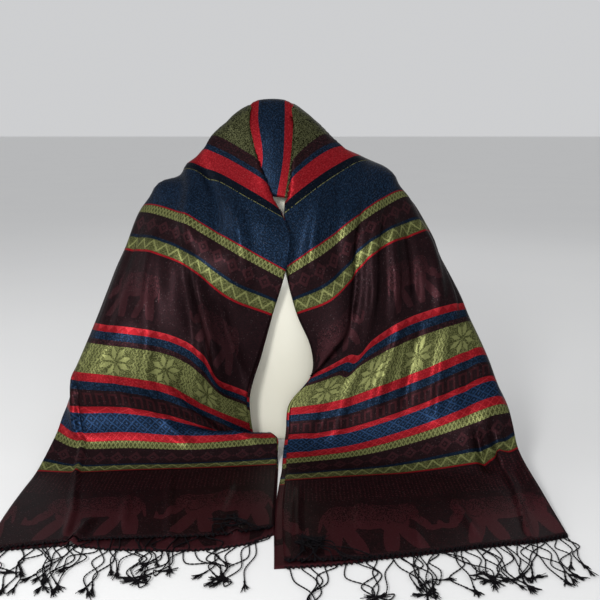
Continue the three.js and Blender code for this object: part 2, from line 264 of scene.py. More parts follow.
RIGHT_FOLDS = (
    Fold(52, 220, 60, 380, 10, 6), Fold(120, 250, 104, 380, 9, 5), Fold(175, 262, 160, 380, 9, 6),
    Fold(60, 215, 150, 150, 6, 4), Fold(70, 285, 160, 250, 8, 4),
    Fold(165, 78, 320, 30, 14, 6), Fold(170, 126, 330, 74, 13, -5),
    Fold(130, 196, 265, 232, 26, 13), Fold(215, 176, 436, 56, 9, -10),
    Fold(235, 202, 455, 94, 9, 9), Fold(262, 222, 462, 146, 9, 10),
    Fold(285, 246, 460, 186, 9, -9), Fold(300, 270, 480, 228, 10, 8),
    Fold(320, 300, 520, 268, 9, -6), Fold(200, 285, 400, 290, 10, 4),
    Fold(430, 170, 590, 128, 9, 6), Fold(450, 205, 600, 172, 9, -5),
    Fold(470, 250, 640, 226, 10, 5),
    Fold(500, 292, 650, 270, 9, -5), Fold(480, 96, 620, 64, 10, 4), Fold(520, 60, 640, 28, 9, -4),
    Fold(636, 316, 745, 328, 9, 16), Fold(646, 290, 735, 299, 7, -10),
    Fold(690, 322, 790, 320, 3.2, 8), Fold(770, 322, 912, 296, 3.2, 7),
    Fold(700, 120, 860, 90, 6, 3.5), Fold(760, 226, 890, 240, 6, 3.5),
    Fold(720, 22, 905, 16, 3.6, 5), Fold(800, 170, 900, 160, 5, 3),
)

# The fold that slants in from the right selvedge. Its lip lies at s on the cloth and covers
# the cloth below it by so much; past the lip the cloth turns back under it.
Lip = namedtuple("Lip", "t s cover height")

LIP = (
    Lip(0, 436, 24, 7), Lip(8, 430, 27, 11), Lip(15, 422, 16, 10), Lip(24, 415, 9, 9),
    Lip(36, 408, 6, 8), Lip(52, 400, 4, 6), Lip(68, 393, 1, 3), Lip(90, 388, 0, 0),
    Lip(FOLDED, 388, 0, 0),
)

# How much cloth rises to the lip and how much turns back behind it, and there, by the share of
# the turn, how much of the cover and of the height is left.
LIP_RISE = 80
LIP_TURN = 26
LIP_COVER_LEFT = ((0, 1), (0.5, 0.05), (1, 0))
LIP_HEIGHT_LEFT = ((0, 1), (0.35, 0.55), (0.7, 0.1), (1, 0))

# How far the right panel has slipped down its rows, by the place along the cloth, and the
# share of that by the place across it.
SLIP = ((330, 0), (425, 8), (500, 9), (560, 13), (606, 12), (660, 7), (700, 3), (800, 0))
SLIP_SHARE = ((0, 1), (90, 1), (140, 0.75), (190, 0.55), (240, 0.4), (300, 0.2), (350, 0.2))

# Where it has slipped further still, beside the fold.
CREEP = (Fold(422, 98, 512, 70, 12, 12),)

# The mesh rows, counted from the first hem, that lie at each place along the cloth: they are
# closest where the cloth folds over itself.
ROW_PLACES = ((0, -900), (30, -660), (60, -510), (158, 372), (200, 500), (250, 900))

# ---- the bust form ----

Level = namedtuple("Level", "z half_width front back")

FORM_LEVELS = (
    Level(0, 146, 92, 84), Level(5, 151, 97, 88), Level(70, 152, 98, 88),
    Level(150, 160, 101, 90), Level(220, 174, 102, 92), Level(280, 190, 94, 88),
    Level(320, 204, 80, 80), Level(345, 206, 66, 68), Level(362, 197, 56, 60),
    Level(377, 166, 50, 54), Level(390, 124, 45, 50), Level(404, 82, 42, 47),
    Level(422, 58, 39, 44), Level(452, 47, 34, 42), Level(490.5, 37, 24, 40),
    Level(505.5, 33, 16, 35), Level(516.5, 27, 8, 27), Level(523.5, 16, 2, 18),
    Level(528.4, 0, 0, 9),
)

# Rings of the spun mesh from one level to the next.
RINGS_PER_LEVEL = 4

# ---- the weave ----
# One half of the shawl's length, from its centre to the hem. The other half mirrors it.

Stripe = namedtuple("Stripe", "width ground figure motif")

STRIPES = (
    Stripe(23, "navy_deep", "navy", "grain"),
    Stripe(15, "red", "red_light", "grain"),
    Stripe(68, "olive_deep", "olive_mesh", "mesh"),
    Stripe(18, "maroon_deep", "maroon_dim", "grain"),
    Stripe(9, "navy_deep", "navy", "grain"),
    Stripe(27, "red", "red_light", "grain"),
    Stripe(14, "navy_black", "navy_deep", "grain"),
    Stripe(1.5, "navy_deep", "gold", "picks"),
    Stripe(78.5, "navy_deep", "navy", "grain"),
    Stripe(2, "red", "red", None),
    Stripe(13, "olive_dark", "olive_light", "chevrons"),
    Stripe(34, "maroon_deep", "maroon_dim", "diamonds"),
    Stripe(5, "navy_deep", "navy", None),
    Stripe(18, "olive_dark", "olive_light", "zigzag"),
    Stripe(3, "red", "red", None),
    Stripe(125, "maroon_deep", "maroon_dim", "elephants"),
    Stripe(11, "red", "red_light", "triangles"),
    Stripe(12, "navy_deep", "navy", "grain"),
    Stripe(8, "maroon_deep", "maroon_dim", "grain"),
    Stripe(46, "olive_shade", "olive_light", "flowers"),
    Stripe(13, "red", "red_light", "grain"),
    Stripe(12.5, "navy_deep", "navy", "grain"),
    Stripe(25, "maroon_deep", "maroon_light", "combs"),
    Stripe(10, "red", "red_light", "long_zigzag"),
    Stripe(30, "navy_deep", "blue", "lattice"),
    Stripe(14, "red", "red_light", "crosses"),
    Stripe(13, "olive_dark", "olive_light", "chevrons"),
    Stripe(33, "maroon_deep", "maroon_dim", "diamonds"),
    Stripe(5, "navy_deep", "navy", None),
    Stripe(18, "olive_dark", "olive_light", "zigzag"),
    Stripe(3, "red", "red", None),
    Stripe(192.5, "maroon_deep", "maroon", "border"),
)

# The parts of a woven elephant that walks towards +x, its feet at y 0: each an oval, with its
# centre, its half length and half height in millimetres, and its turn in degrees.
Oval = namedtuple("Oval", "x y long high turn")

ELEPHANT = (
    Oval(-8, 73, 50, 27, 0),        # barrel
    Oval(-46, 66, 24, 33, 0),       # rump
    Oval(26, 66, 24, 31, 0),        # shoulder
    Oval(48, 80, 18, 19, -20),      # head
    Oval(64, 57, 21, 8, -60),       # trunk, down and forward
    Oval(79, 41, 12, 5.5, 4),
    Oval(91, 50, 10, 4.5, 62),      # trunk tip, curled up
    Oval(45, 24, 11, 35, 22),       # forelegs
    Oval(17, 24, 11, 33, -8),
    Oval(-32, 24, 11, 34, 17),      # hind legs
    Oval(-60, 26, 11.5, 36, -11),
    Oval(-73, 62, 2.5, 20, -12),    # tail
)
ELEPHANT_EAR = Oval(34, 74, 13, 18, 12)
ELEPHANT_CLOTH = Oval(-12, 84, 24, 17, 0)

# Where the elephants stand across the cloth: in the wide stripe, in the first border, and the
# place where those of the second border meet. Then how far apart the borders' elephants walk, and
# how far the flowers of the first half are shifted.
WALKING = -25.0
MARCHING = 111.0
MEETING = -152.0
BORDER_PERIOD = 166.0
FLOWERS_SHIFT = 54.0

# Second colours of the finishes: the sheen, the yarn's cast and the drifts of shell and floor.
SHEEN_TINT = "#857b7d"
YARN_CAST = "#0e0b10"
SHELL_SHADE = "#e9e6d4"
FLOOR_SHADE = "#dedede"

# ---- the stage ----
# In metres: each light's place, the side of its square, and its power in watts.

LIGHTS = (
    ("key", (-0.65, -1.6, 1.05), 0.4, 20),
    ("fill", (0.2, -1.7, 0.55), 0.4, 3.5),
    ("side", (-1.7, -0.1, 0.8), 0.7, 5),
    ("back", (0.4, 1.7, 1.8), 1.6, 5),
)
LIGHTS_AIM = (0, -0.15, 0.2)
ROOM_COLOUR = "#f4f5f7"
ROOM_LIGHT = 0.68
FLOOR_REACH = 60.0
SENSOR = 36.0            # mm, the width that the lens is given for


# ---- settings ----

def colour_property(name, text, hex_value):
    """A colour setting whose default is an sRGB hex value."""
    return bpy.props.StringProperty(name=name, description=text, default=hex_value)


class ShawlSettings(bpy.types.PropertyGroup):
    """Sizes and colours of the shawl."""

    layer_offset: bpy.props.FloatProperty(
        name="Layer Offset", description="From the middle of the two layers to each of them",
        default=1.0 * MM, unit="LENGTH")
    cloth_thickness: bpy.props.FloatProperty(
        name="Cloth Thickness", description="Thickness of one layer of the jacquard cloth",
        default=0.5 * MM, unit="LENGTH")
    rows_along: bpy.props.IntProperty(
        name="Rows Along", description="Mesh rows from hem to hem", default=250, min=60)
    rows_across: bpy.props.IntProperty(
        name="Rows Across", description="Mesh rows across one layer", default=95, min=12)
    thread: bpy.props.FloatProperty(
        name="Figure Step", description="Step of the woven figures, one group of threads",
        default=1.1 * MM, unit="LENGTH")
    navy_deep: colour_property("Navy Ground", "Dark of the navy stripes", "#0b141f")
    navy: colour_property("Navy Figure", "Light of the navy stripes", "#1a2b40")
    navy_black: colour_property("Navy Black", "The darkest navy stripe", "#080c14")
    blue: colour_property("Blue", "Blue lattice on navy", "#1b2f4a")
    red: colour_property("Red", "Red stripes", "#701017")
    red_light: colour_property("Red Figure", "Light figures on red", "#8d2026")
    olive_dark: colour_property("Olive Ground", "Ground of the olive stripes", "#32341c")
    olive_light: colour_property("Olive Figure", "Light figures on olive", "#6f7247")
    # Painted highlight: the pale colour of the painted glints, specks that stand for floats
    # catching the light.
    painted_glint: colour_property("Glint", "Floats that catch the light", "#bdb2b4")
    gold: colour_property("Gold", "Single gold pick", "#6f6d40")
    maroon_deep: colour_property("Maroon Ground", "Ground of the maroon cloth", "#180f11")
    maroon: colour_property("Maroon Figure", "Figures on the maroon cloth", "#3c1b1f")
    maroon_dim: colour_property("Maroon Dim", "Figures in the satin panels", "#2f191c")
    olive_shade: colour_property("Olive Shade", "Ground of the flower bands", "#36381f")
    olive_deep: colour_property("Olive Deep", "Ground of the fine olive mesh", "#191a0c")
    olive_mesh: colour_property("Olive Mesh", "Figure of the fine olive mesh", "#4e5036")
    maroon_light: colour_property("Maroon Light", "Comb figures", "#2f1619")
    yarn: colour_property("Fringe Yarn", "Twisted yarn of the fringe", "#040304")


class FormSettings(bpy.types.PropertyGroup):
    """Size and colour of the bust form."""

    facets: bpy.props.IntProperty(
        name="Facets", description="Facets round the bust form", default=96, min=24)
    shell: colour_property("Shell", "Gel coat of the bust form", "#f0eedf")


class StageSettings(bpy.types.PropertyGroup):
    """Floor and camera."""

    floor: colour_property("Floor", "Pale matt floor", "#e2e2e1")
    camera_place: bpy.props.FloatVectorProperty(
        name="Camera Place", description="Where the camera stands",
        default=(0.044, -1.3, 0.485), subtype="XYZ", unit="LENGTH")
    camera_pitch: bpy.props.FloatProperty(
        name="Camera Pitch", description="How far the camera looks down",
        default=math.radians(12), unit="ROTATION")
    lens: bpy.props.FloatProperty(
        name="Lens", description="Focal length on a 36 mm sensor", default=48.0)


# ---- small helpers ----

def linear(hex_value):
    """Linear RGBA from an sRGB hex value."""
    parts = [int(hex_value[i:i + 2], 16) / 255 for i in (1, 3, 5)]
    turned = [c / 12.92 if c <= 0.04045 else ((c + 0.055) / 1.055) ** 2.4 for c in parts]
    return (*turned, 1.0)


def put(tree, kind, inputs=(), output=0, **settings):
    """Adds a node with its settings, links or sets its inputs, and returns one of its outputs.

    A kind such as "Math ADD" names the node and its operation.
    """
    name, _, operation = kind.partition(" ")
    node = tree.nodes.new("ShaderNode" + name)
    if operation:
        node.operation = operation
    for key, value in settings.items():
        setattr(node, key, value)
    pairs = inputs.items() if isinstance(inputs, dict) else enumerate(inputs)
    for key, value in pairs:
        if isinstance(value, bpy.types.NodeSocket):
            tree.links.new(value, node.inputs[key])
        else:
            node.inputs[key].default_value = value
    return node.outputs[output]


def new_material(name):
    """An empty node material with its output, and the node tree."""
    material = bpy.data.materials.new(name)
    material.use_nodes = True
    tree = material.node_tree
    tree.nodes.clear()
    return material, tree


def finish_material(tree, surface):
    """Links the surface to the material's output."""
    output = tree.nodes.new("ShaderNodeOutputMaterial")
    tree.links.new(surface, output.inputs["Surface"])


def cloudy_colour(tree, first, second, noise):
    """A drift between two hex colours, the noise it follows, and the place that is read."""
    place = put(tree, "TexCoord", output="Object")
    cloud = put(tree, "TexNoise", {"Vector": place, **noise}, output="Fac")
    colour = put(tree, "Mix", {0: cloud, 6: linear(first), 7: linear(second)}, output=2,
                 data_type="RGBA")
    return colour, cloud, place


def new_object(name, data):
    """An object at the origin, in the scene."""
    piece = bpy.data.objects.new(name, data)
    bpy.context.scene.collection.objects.link(piece)
    return piece


def mesh_from(build, name):
    """A new mesh from a bmesh, which it frees."""
    mesh = bpy.data.meshes.new(name)
    build.to_mesh(mesh)
    build.free()
    return mesh


def shade_smooth(mesh):
    """Shades every face of a mesh smooth."""
    mesh.polygons.foreach_set("use_smooth", [True] * len(mesh.polygons))


# ---- curves ----

def curve_through(points, places, column=None):
    """Points on centripetal Catmull-Rom curves, down one column of the points for each place."""
    points = np.asarray(points, float)
    ends = 2 * points[:1] - points[1:2], 2 * points[-1:] - points[-2:-1]
    padded = np.concatenate([ends[0], points, ends[1]])
    index = np.clip(np.floor(places).astype(int), 0, len(points) - 2)
    x = (places - index)[:, None]
    if column is None:
        p0, p1, p2, p3 = (padded[index + k] for k in range(4))
    else:
        p0, p1, p2, p3 = (padded[index + k, column] for k in range(4))

    def knot(a, b):
        return np.maximum(np.linalg.norm(b - a, axis=-1, keepdims=True) ** 0.5, 1e-4)

    k0, k1, k2 = knot(p0, p1), knot(p1, p2), knot(p2, p3)
    leave = ((p1 - p0) / k0 - (p2 - p0) / (k0 + k1) + (p2 - p1) / k1) * k1
    arrive = ((p2 - p1) / k1 - (p3 - p1) / (k1 + k2) + (p3 - p2) / k2) * k1
    return ((2 * x**3 - 3 * x**2 + 1) * p1 + (x**3 - 2 * x**2 + x) * leave
            + (3 * x**2 - 2 * x**3) * p2 + (x**3 - x**2) * arrive)


def section(row, count):
    """Evenly spaced points across one row, cut off at the folded width."""
    fine = curve_through(row[1:], np.linspace(0, len(row) - 2, FINE_POINTS))
    length = np.concatenate([[0], np.cumsum(np.linalg.norm(np.diff(fine, axis=0), axis=1))])
    wanted = np.linspace(0, min(length[-1], FOLDED), count)
    return np.stack([np.interp(wanted, length, fine[:, k]) for k in range(3)], axis=1)


class Panel:
    """The cloth of one set of rows as a surface of s, along, and share, across it."""

    def __init__(self, rows, count):
        self.stations = np.array([row.s for row in rows], float)
        self.sections = np.array([section(row, count) for row in rows])

    def down(self, column, s):
        """Points down the given columns at each s, past the last row straight on."""
        places = np.interp(s, self.stations, np.arange(len(self.stations)))
        found = curve_through(self.sections, places, column)
        onward = self.sections[-1] - self.sections[-2]
        onward[:, 2] = 0
        onward /= np.linalg.norm(onward, axis=1, keepdims=True)
        return found + np.maximum(s - self.stations[-1], 0)[:, None] * onward[column]

    def at(self, s, share):
        """Points for arrays of s and share of equal shape; share may pass 0 and 1."""
        flat_s, flat_share = s.ravel(), share.ravel()
        steps = self.sections.shape[1] - 1
        column = np.clip(np.floor(flat_share * steps).astype(int), 0, steps - 1)
        part = (flat_share * steps - column)[:, None]
        low, high = self.down(column, flat_s), self.down(column + 1, flat_s)
        return (low + (high - low) * part).reshape(s.shape + (3,))


def smooth_step(x):
    """0 below 0, 1 above 1, and a soft rise between them."""
    x = np.clip(x, 0, 1)
    return x * x * (3 - 2 * x)


def pleat_edge(t):
    """Where along the cloth the pleat's front fold lies, at t across it."""
    return PLEAT_START + (PLEAT_END - PLEAT_START) * np.clip(1 - t / PLEAT_TOP, 0, 1)


def pleat_reach(s):
    """How far in from the selvedges the pleat has swallowed the cloth, at s along it."""
    return PLEAT_TOP * np.clip((PLEAT_END - s) / (PLEAT_END - PLEAT_START), 0, 1)


def half_surface(panel, centre, side, s, t):
    """The middle of the two layers for one half, s and t being 2-D arrays in millimetres."""
    edge = pleat_edge(t)
    shown_s = np.maximum(s, edge)
    reach = pleat_reach(shown_s)
    shown = panel.at(shown_s, (t - reach) / (FOLDED - reach))

    ahead_s = shown_s + TUCK_AHEAD
    ahead_reach = pleat_reach(ahead_s)
    into = panel.at(ahead_s, (t - ahead_reach) / (FOLDED - ahead_reach)) - shown
    into /= np.linalg.norm(into, axis=-1, keepdims=True)

    centre_share = t / FOLDED
    middle = centre.at(np.minimum(s, PLEAT_START) * side, centre_share)
    border = centre.at(np.full_like(s, PLEAT_START) * side, centre_share)
    hidden = np.maximum(edge - PLEAT_START, 1e-3)
    depth = np.minimum(hidden / TUCK_FULL, 1)[..., None]
    turn = np.minimum(TUCK_SHARE * hidden, TUCK_MOST)[..., None]
    outward = np.array([float(side), 0.0, 0.0])
    back = [amount * np.array([0.0, 1.0, 0.0]) for amount in TUCK_BACK]
    bends = np.stack([
        border,
        border + depth * (0.5 * turn * outward + back[0]),
        shown + depth * (turn * into + back[1]),
        shown + depth * (0.45 * turn * into + back[2]),
        shown + depth * (3 * into + back[3]),
        shown,
    ])
    u = np.clip((s - PLEAT_START) / hidden, 0, 1)
    place = np.interp(u, TUCK_PLACES, np.arange(len(bends))).ravel()
    flat = bends.reshape(len(bends), -1, 3)
    index = np.clip(np.floor(place).astype(int), 0, len(bends) - 2)
    part = (place - index)[:, None]
    pick = np.arange(flat.shape[1])
    tucked = flat[index, pick] * (1 - part) + flat[index + 1, pick] * part
    tucked = tucked.reshape(s.shape + (3,))
    result = np.where((s >= edge)[..., None], shown, tucked)
    return np.where((s <= PLEAT_START)[..., None], middle, result)


def fold_height(folds, s, t):
    """How far all the soft folds lift the cloth at s, t."""
    height = np.zeros_like(s)
    for fold in folds:
        along = np.array([fold.s1 - fold.s0, fold.t1 - fold.t0], float)
        length = np.hypot(*along)
        along /= length
        x = (s - fold.s0) * along[0] + (t - fold.t0) * along[1]
        y = (t - fold.t0) * along[0] - (s - fold.s0) * along[1]
        fade = FOLD_TAPER * length
        taper = smooth_step(x / fade) * smooth_step((length - x) / fade)
        height += fold.depth * np.exp(-(y / fold.width) ** 2) * taper
    return height


def lip_fold(s, t):
    """How far the slanting fold slides the cloth along itself, and how far it lifts it."""
    places = [lip.t for lip in LIP]
    edge, cover, height = (np.interp(t, places, [lip[k] for lip in LIP]) for k in (1, 2, 3))
    rise = smooth_step((s - edge + LIP_RISE) / LIP_RISE)
    turn = np.clip((s - edge) / LIP_TURN, 0, 1)
    slide = cover * rise * np.interp(turn, *zip(*LIP_COVER_LEFT))
    return slide, height * rise * np.interp(turn, *zip(*LIP_HEIGHT_LEFT))


def grid_normals(points):
    """Unit normals of a grid of points, rows along the cloth and columns across it."""
    along = np.gradient(points, axis=0)
    across = np.gradient(points, axis=1)
    normal = np.cross(along, across)
    return normal / np.maximum(np.linalg.norm(normal, axis=-1, keepdims=True), 1e-9)


def relax(points, times, weight):
    """Smooths a grid of points a little, keeping its edges."""
    for _ in range(times):
        inner = points[1:-1, 1:-1]
        around = (points[:-2, 1:-1] + points[2:, 1:-1] + points[1:-1, :-2] + points[1:-1, 2:]) / 4
        points[1:-1, 1:-1] = inner + weight * (around - inner)
    return points


def cloth_middle(s, t):
    """The middle surface of the folded shawl at two equal grids of s and t, in millimetres."""
    centre, left_panel, right_panel = (
        Panel(rows, SECTION_POINTS) for rows in (CENTRE_ROWS, LEFT_ROWS, RIGHT_ROWS))
    left = half_surface(left_panel, centre, -1, np.maximum(-s, 0), t)
    slide, lip_lift = lip_fold(s, t)
    slip = np.interp(s, *zip(*SLIP)) * np.interp(t, *zip(*SLIP_SHARE)) + fold_height(CREEP, s, t)
    right = half_surface(right_panel, centre, 1, np.maximum(s, 0) + slide + slip, t)
    points = np.where((s < 0)[..., None], left, right)
    points = relax(points, RELAX_TIMES, RELAX_WEIGHT)
    lift = np.where(s < 0, fold_height(LEFT_FOLDS, -s, t),
                    fold_height(RIGHT_FOLDS, s, t) + lip_lift)
    return points + lift[..., None] * grid_normals(points)


def layer_grids(rows, columns):
    """The places along and across the cloth of each layer's grid: top, then under."""
    t = np.broadcast_to(np.linspace(0, FOLDED, columns), (rows + 1, columns))
    counted, places = zip(*ROW_PLACES)
    along = np.interp(np.linspace(0, counted[-1], rows + 1), counted, places)
    s = np.broadcast_to(along[:, None], t.shape)
    inner = np.interp(s, *zip(*INNER_PEEK))
    under_t = t * (FOLDED + inner) / FOLDED - inner
    hem = np.where(s < 0, np.interp(t, *zip(*HEM_PEEK[-1])), np.interp(t, *zip(*HEM_PEEK[1])))
    return (s, t), (s * (HALF + hem) / HALF, under_t)


# ---- the shawl ----

def shawl_mesh(settings):
    """The whole cloth as one grid: two layers that join at the lengthwise fold."""
    columns = settings.rows_across
    rows = settings.rows_along
    offset = settings.layer_offset / MM
    (top_s, top_t), (under_s, under_t) = layer_grids(rows, columns)
    top = cloth_middle(top_s, top_t)
    top += offset * grid_normals(top)
    under = cloth_middle(under_s, under_t)
    under -= offset * grid_normals(under)
    top[..., 2] = np.maximum(top[..., 2], TOP_LOWEST)
    under[..., 2] = np.maximum(under[..., 2], UNDER_LOWEST)
    sheet = np.concatenate([top, under[:, ::-1]], axis=1) * MM

    build = bmesh.new()
    uv_layer = build.loops.layers.uv.new("cloth")
    bmesh.ops.create_grid(build, x_segments=2 * columns - 1, y_segments=rows, size=1.0)
    half_grid = np.array([(v.co.x, v.co.y) for v in build.verts])
    column = np.rint((half_grid[:, 0] + 1) / 2 * (2 * columns - 1)).astype(int)
    row = np.rint((half_grid[:, 1] + 1) / 2 * rows).astype(int)
    flat_u = np.concatenate([top_t - FOLDED, FOLDED - under_t[:, ::-1]], axis=1) * MM
    flat_v = np.concatenate([top_s, top_s[:, ::-1]], axis=1) * MM
    places = sheet[row, column]
    for vert, place in zip(build.verts, places):
        vert.co = place
    for face in build.faces:
        for loop in face.loops:
            index = loop.vert.index
            spot = row[index], column[index]
            loop[uv_layer].uv = (flat_u[spot], flat_v[spot])
    bmesh.ops.recalc_face_normals(build, faces=build.faces)
    mesh = mesh_from(build, "shawl")
    shade_smooth(mesh)
    return mesh


class SHAWL_OT_cloth(bpy.types.Operator):
    """Drape the folded shawl over the form"""

    bl_idname = "shawl.cloth"
    bl_label = "Shawl"

    def execute(self, context):
        settings = context.scene.shawl
        piece = new_object("shawl", shawl_mesh(settings))
        piece.data.materials.append(jacquard(settings))
        wall = piece.modifiers.new("Cloth wall", "SOLIDIFY")
        wall.thickness = settings.cloth_thickness
        wall.offset = 0.0
        wall.use_rim = True
        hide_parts(*STRETCHES)
        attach(piece, BODY)
        return {"FINISHED"}


# ---- the cloth's material ----

def distance(tree, value, other):
    """How far two values lie from each other."""
    gap = put(tree, "Math SUBTRACT", (value, other))
    return put(tree, "Math ABSOLUTE", (gap,))


def in_diamonds(tree, across, height, wide, tall):
    """The place in a net of diamonds, folded back into one quarter of one diamond."""
    x = put(tree, "Math PINGPONG", (across, wide / 2))
    return x, put(tree, "Math PINGPONG", (height, tall / 2))


def zigzag(tree, across, height, period, tall, weight):
    """A zigzag line that fills a stripe."""
    wave = put(tree, "Math PINGPONG", (across, period / 2))
    line = put(tree, "Math MULTIPLY_ADD", (wave, 2 * tall / period, 1.5))
    return put(tree, "Math COMPARE", (height, line, weight))


def diamond_net(tree, across, height, wide, tall, weight):
    """Crossing slanted lines that leave a net of diamonds."""
    x, y = in_diamonds(tree, across, height, wide, tall)
    y = put(tree, "Math MULTIPLY", (y, wide / tall))
    return put(tree, "Math COMPARE", (x, y, weight))


def diamond_dots(tree, across, height, wide, tall, reach):
    """A dot in the middle of every diamond of such a net."""
    x, y = in_diamonds(tree, across, height, wide, tall)
    x_off = put(tree, "Math SUBTRACT", (wide / 2, x))
    y_off = put(tree, "Math SUBTRACT", (tall / 2, y))
    side_dots = put(tree, "Math ADD", (x_off, y))
    end_dots = put(tree, "Math ADD", (x, y_off))
    nearest = put(tree, "Math MINIMUM", (side_dots, end_dots))
    return put(tree, "Math LESS_THAN", (nearest, reach))


def small_diamonds(tree, across, height, period, half, middle):
    """Separate diamonds along the middle of a stripe, each with an open ring in it."""
    x = put(tree, "Math PINGPONG", (across, period / 2))
    y = distance(tree, height, middle)
    total = put(tree, "Math ADD", (x, y))
    ring = put(tree, "Math COMPARE", (total, 0.75 * half, 0.25 * half))
    dot = put(tree, "Math LESS_THAN", (total, 0.25 * half))
    between = put(tree, "Math SUBTRACT", (x, y))
    spray = put(tree, "Math COMPARE", (between, 0.47 * period, 1.6))
    figures = put(tree, "Math MAXIMUM", (ring, dot))
    return put(tree, "Math MAXIMUM", (figures, spray))


def comb_figures(tree, across, height, period):
    """Pairs of upright bars under a cross bar."""
    x = put(tree, "Math PINGPONG", (across, period / 2))
    bars = put(tree, "Math COMPARE", (x, 0.26 * period, 0.09 * period))
    high = put(tree, "Math COMPARE", (height, 12.5, 8.5))
    legs = put(tree, "Math MULTIPLY", (bars, high))
    near = put(tree, "Math LESS_THAN", (x, 0.36 * period))
    level = put(tree, "Math COMPARE", (height, 5.5, 1.4))
    beam = put(tree, "Math MULTIPLY", (near, level))
    return put(tree, "Math MAXIMUM", (legs, beam))


def star_flowers(tree, across, height, floats, period, middle, radius):
    """Eight-petalled stars on a speckled ground, with leafy uprights between them."""
    x = put(tree, "Math PINGPONG", (across, period / 2))
    y = distance(tree, height, middle)
    angle = put(tree, "Math ARCTAN2", (y, x))
    off_gap = put(tree, "Math PINGPONG", (angle, math.pi / 8))
    off_ridge = put(tree, "Math SUBTRACT", (math.pi / 8, off_gap))
    spot = put(tree, "CombineXYZ", (x, y))
    far = put(tree, "VectorMath LENGTH", (spot,), output="Value")
    taper = put(tree, "Math MULTIPLY_ADD", (off_ridge, 2.2, 1.0))
    reach = put(tree, "Math MULTIPLY", (far, taper))
    petals = put(tree, "Math LESS_THAN", (reach, radius))
    gap = put(tree, "Math MULTIPLY", (far, off_gap))
    gap = put(tree, "Math GREATER_THAN", (gap, 1.7))
    open_centre = put(tree, "Math GREATER_THAN", (far, 0.12 * radius))
    star = put(tree, "Math MULTIPLY", (petals, gap))
    star = put(tree, "Math MULTIPLY", (star, open_centre))
    sway = put(tree, "Math MULTIPLY", (height, 0.6))
    sway = put(tree, "Math SINE", (sway,))
    bent = put(tree, "Math MULTIPLY_ADD", (sway, 1.5, x))
    veins = put(tree, "Math PINGPONG", (bent, 2.6))
    veins = put(tree, "Math GREATER_THAN", (veins, 1.5))
    outside = put(tree, "Math GREATER_THAN", (x, 0.35 * period))
    uprights = put(tree, "Math MULTIPLY", (veins, outside))
    uprights = put(tree, "Math MULTIPLY", (uprights, 0.7))
    speckle = put(tree, "Math GREATER_THAN", (floats, 0.6))
    speckle = put(tree, "Math MULTIPLY", (speckle, 0.35))
    ground = put(tree, "Math MAXIMUM", (uprights, speckle))
    return put(tree, "Math MAXIMUM", (star, ground))


def oval_distance(tree, spot, oval, long_share, high_share):
    """About how far a spot lies from an oval: 0 on its outline, below 0 inside."""
    centre = (oval.x * long_share, oval.y * high_share, 0)
    away = put(tree, "VectorMath SUBTRACT", (spot, centre))
    if oval.turn:
        away = put(tree, "VectorRotate", {"Vector": away, "Angle": -math.radians(oval.turn)},
                   rotation_type="Z_AXIS")
    size = (oval.long * long_share, oval.high * high_share, 1)
    shrunk = put(tree, "VectorMath DIVIDE", (away, size))
    ring = put(tree, "VectorMath LENGTH", (shrunk,), output="Value")
    return put(tree, "Math SUBTRACT", (ring, 1.0))


def stipple(tree, across, height, wide, tall):
    """Rows of small dashes."""
    x, y = in_diamonds(tree, across, height, wide, tall)
    dots = put(tree, "Math GREATER_THAN", (x, 0.25 * wide))
    lines = put(tree, "Math GREATER_THAN", (y, 0.22 * tall))
    return put(tree, "Math MULTIPLY", (dots, lines))


def elephant_row(tree, moved, height, floats, period, ground, long_share, high_share):
    """A row of walking elephants whose feet point to the hem, with speckled backs."""
    x = put(tree, "Math WRAP", (moved, period / 2, -period / 2))
    y = put(tree, "Math SUBTRACT", (ground, height))
    spot = put(tree, "CombineXYZ", (x, y))
    whole = None
    for oval in ELEPHANT:
        one = oval_distance(tree, spot, oval, long_share, high_share)
        if whole is None:
            whole = one
        else:
            whole = put(tree, "Math SMOOTH_MIN", (whole, one, 0.1))
    filled = put(tree, "Math LESS_THAN", (whole, 0.0))
    above_ground = put(tree, "Math GREATER_THAN", (y, 0.0))
    filled = put(tree, "Math MULTIPLY", (filled, above_ground))
    ear = oval_distance(tree, spot, ELEPHANT_EAR, long_share, high_share)
    ear_line = put(tree, "Math COMPARE", (ear, 0.0, 0.07))
    saddle = oval_distance(tree, spot, ELEPHANT_CLOTH, long_share, high_share)
    saddle_line = put(tree, "Math COMPARE", (saddle, 0.0, 0.05))
    lines = put(tree, "Math MAXIMUM", (ear_line, saddle_line))
    lines = put(tree, "Math MULTIPLY", (lines, 0.6))
    higher = put(tree, "MapRange", (y, 50.0 * high_share, 92.0 * high_share, 0.0, 0.62))
    speckle = put(tree, "Math LESS_THAN", (floats, higher))
    speckle = put(tree, "Math MULTIPLY", (speckle, 0.8))
    lines = put(tree, "Math MAXIMUM", (lines, speckle))
    return put(tree, "Math SUBTRACT", (filled, lines), use_clamp=True)


